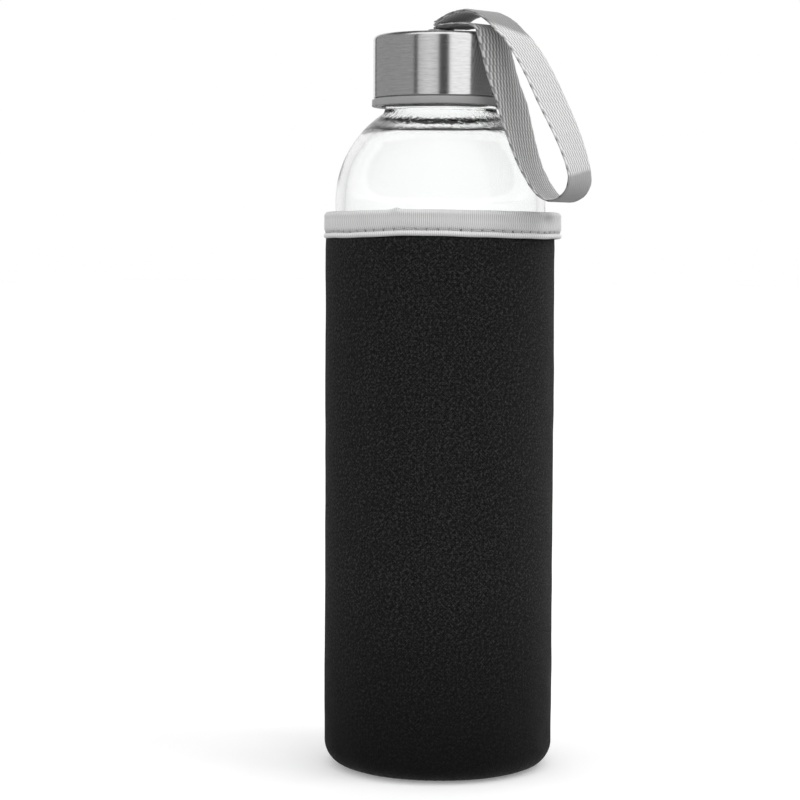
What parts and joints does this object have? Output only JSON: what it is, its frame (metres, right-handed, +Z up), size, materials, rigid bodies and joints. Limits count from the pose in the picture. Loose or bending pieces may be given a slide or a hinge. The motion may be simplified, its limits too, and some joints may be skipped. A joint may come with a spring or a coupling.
{
  "type": "glass water bottle",
  "caption": "Domed clear glass water bottle in a snug knitted neoprene sleeve, with a steel-covered screw lid and a webbing carry loop.",
  "frame": {"origin": "on the bottle's axis, on the surface that the sleeve stands on", "axes": "+Z up along the bottle's axis, +X towards the side where the carry loop hangs, +Y across the webbing"},
  "size_m": [0.092, 0.0726, 0.2331],
  "materials": {
    "clear_glass": "polished, clear",
    "grey_plastic": "satin moulded",
    "brushed_steel": "brushed round the axis",
    "plain_steel": "plain, smooth",
    "silicone": "matt, translucent white",
    "grey_webbing": "coarse woven webbing",
    "black_neoprene": "fine jersey knit on foam",
    "grey_tape": "fine ribbed tape",
    "grey_thread": "sewing thread",
    "black_thread": "sewing thread"
  },
  "bodies": {
    "sleeve": {"sleeve_side_panel": "black_neoprene", "sleeve_bottom_panel": "black_neoprene", "sleeve_rim_tape": "grey_tape", "rim_tape_stitching": "grey_thread", "sleeve_side_seam": "black_thread", "sleeve_bottom_seam": "black_thread"},
    "bottle": {"glass_bottle": "clear_glass"},
    "seal": {"lid_seal_ring": "silicone"},
    "lid": {"lid_inner_cap": "grey_plastic", "lid_steel_cover": "brushed_steel", "rivet_backing_washer": "plain_steel", "rivet_top_washer": "plain_steel", "strap_rivet": "plain_steel"},
    "strap_ends": {"strap_lower_end": "grey_webbing", "strap_upper_end": "grey_webbing"},
    "strap_rise": {"strap_lower_rise": "grey_webbing", "strap_upper_rise": "grey_webbing"},
    "strap_loop": {"strap_hanging_loop": "grey_webbing"}
  },
  "joints": [
    {"name": "bottle_lift", "type": "slide", "parent": "sleeve", "child": "bottle", "axis": [0, 0, 1], "range_m": [0, 0.175]},
    {"name": "lid_rise", "type": "slide", "parent": "bottle", "child": "seal", "axis": [0, 0, 1], "range_m": [0, 0.021]},
    {"name": "lid_turn", "type": "hinge", "parent": "seal", "child": "lid", "pos_m": [0, 0, 0.215], "axis": [0, 0, 1], "range_deg": [0, 1800]},
    {"name": "strap_swivel", "type": "hinge", "parent": "lid", "child": "strap_ends", "pos_m": [0, 0, 0.2293], "axis": [0, 0, 1], "continuous": true},
    {"name": "strap_raise", "type": "hinge", "parent": "strap_ends", "child": "strap_rise", "pos_m": [0.0052, 0, 0.2288], "axis": [0, -1, 0], "range_deg": [0, 75]},
    {"name": "strap_unbend", "type": "hinge", "parent": "strap_rise", "child": "strap_loop", "pos_m": [0.0181, 0, 0.2277], "axis": [0, -1, 0], "range_deg": [0, 80.1]}
  ],
  "couplings": [
    {"joint": "lid_turn", "follows": "lid_rise", "rad_per_m": 1496},
    {"joint": "strap_unbend", "follows": "strap_raise", "ratio": 1.0667}
  ]
}
